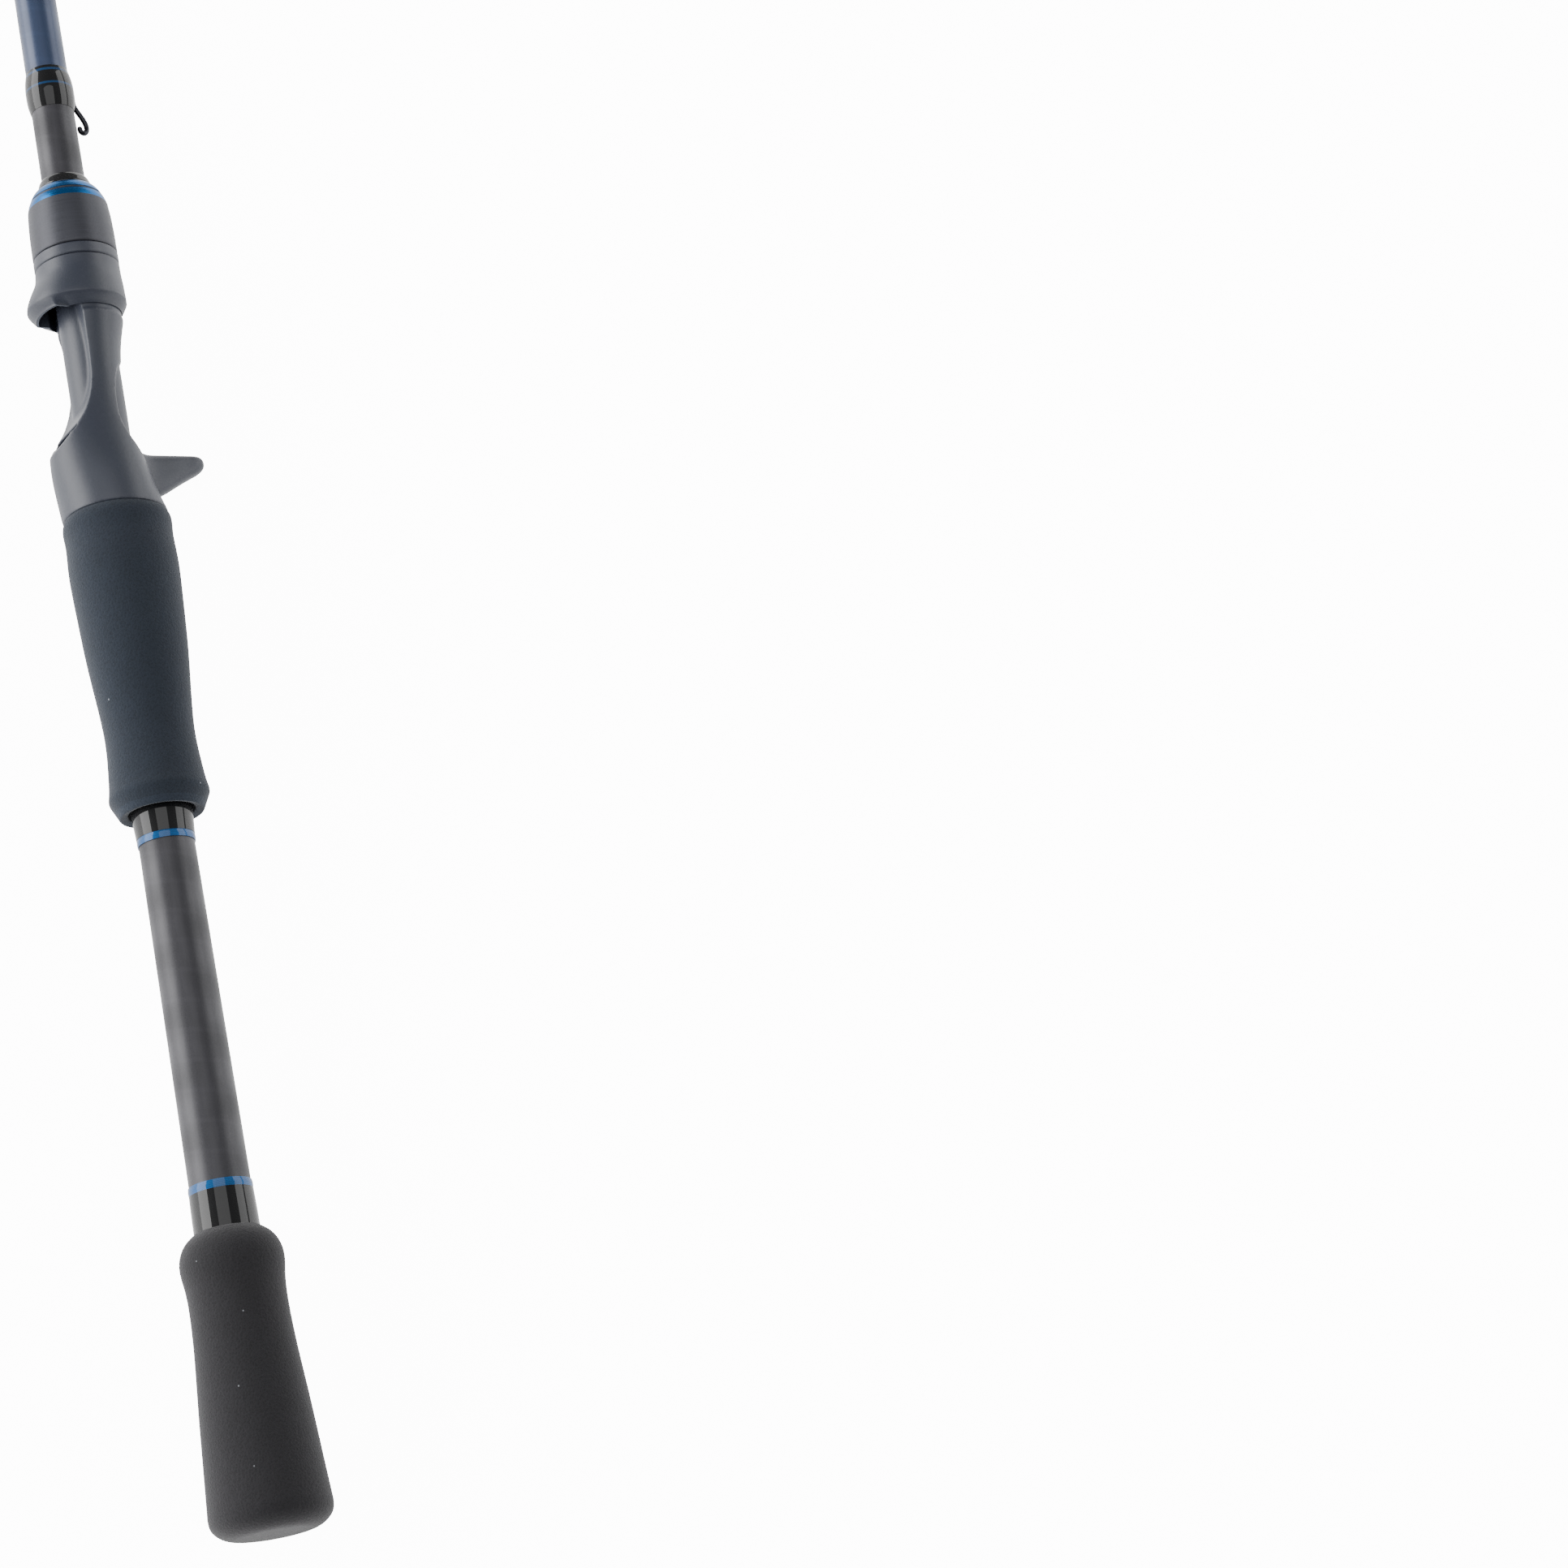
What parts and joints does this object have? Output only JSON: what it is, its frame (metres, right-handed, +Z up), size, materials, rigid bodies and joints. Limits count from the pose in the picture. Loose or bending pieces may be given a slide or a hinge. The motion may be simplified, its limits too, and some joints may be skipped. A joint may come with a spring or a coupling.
{
  "type": "baitcasting fishing rod",
  "caption": "Baitcasting fishing rod with a split foam grip, a trigger reel seat with a screw-down sliding hood, and ringed line guides along a tapered blank.",
  "frame": {"origin": "centre of the flat face of the butt end", "axes": "+X along the rod to the tip, +Z up. The rod lies rolled 26 degrees about X on its butt and trigger, so the reel and guide side faces +Y and 26 degrees up, and the trigger -Y and 26 degrees down"},
  "size_m": [2.134, 0.0468, 0.0302],
  "materials": {
    "carbon_blank": "satin",
    "eva_foam": "matte",
    "gloss_winding": "gloss",
    "blue_thread": "gloss",
    "blue_anodised": "satin",
    "seat_nylon": "satin",
    "arbor_foam": "matte",
    "rubber_liner": "matte",
    "nut_metal": "satin",
    "black_chrome": "polished",
    "guide_metal": "polished",
    "guide_ceramic": "gloss"
  },
  "bodies": {
    "rod": {"blank": "carbon_blank", "butt_grip": "eva_foam", "butt_winding": "gloss_winding", "blue_band_rear": "blue_thread", "blue_band_front": "blue_thread", "rear_winding": "gloss_winding", "rear_grip": "eva_foam", "reel_seat": "seat_nylon", "barrel_arbor": "arbor_foam", "hook_keeper": "black_chrome", "keeper_wrap": "gloss_winding", "guide_1_frame": "guide_metal", "guide_1_ring": "guide_ceramic", "guide_1_wraps": "gloss_winding", "guide_2_frame": "guide_metal", "guide_2_ring": "guide_ceramic", "guide_2_wraps": "gloss_winding", "guide_3_frame": "guide_metal", "guide_3_ring": "guide_ceramic", "guide_3_wraps": "gloss_winding", "guide_4_frame": "guide_metal", "guide_4_ring": "guide_ceramic", "guide_4_wraps": "gloss_winding", "guide_5_frame": "guide_metal", "guide_5_ring": "guide_ceramic", "guide_5_wraps": "gloss_winding", "guide_6_frame": "guide_metal", "guide_6_ring": "guide_ceramic", "guide_6_wraps": "gloss_winding", "guide_7_frame": "guide_metal", "guide_7_ring": "guide_ceramic", "guide_7_wraps": "gloss_winding", "guide_8_frame": "guide_metal", "guide_8_ring": "guide_ceramic", "guide_8_wraps": "gloss_winding", "guide_9_frame": "guide_metal", "guide_9_ring": "guide_ceramic", "guide_9_wraps": "gloss_winding", "tip_top_frame": "guide_metal", "tip_top_ring": "guide_ceramic", "tip_top_wrap": "gloss_winding"},
    "hood": {"sliding_hood": "seat_nylon", "hood_cushion": "rubber_liner", "friction_ring": "seat_nylon"},
    "nut": {"lock_nut": "nut_metal", "nut_trim_ring": "blue_anodised", "nut_collar": "gloss_winding"}
  },
  "joints": [
    {"name": "hood_slide", "type": "slide", "parent": "rod", "child": "hood", "axis": [1, 0, 0], "range_m": [-0.001, 0.01]},
    {"name": "nut_turn", "type": "hinge", "parent": "hood", "child": "nut", "pos_m": [0.335, 0, 0], "axis": [1, 0, 0], "range_deg": [-181, 1801]}
  ],
  "couplings": [
    {"joint": "nut_turn", "follows": "hood_slide", "rad_per_m": 3141.6}
  ]
}
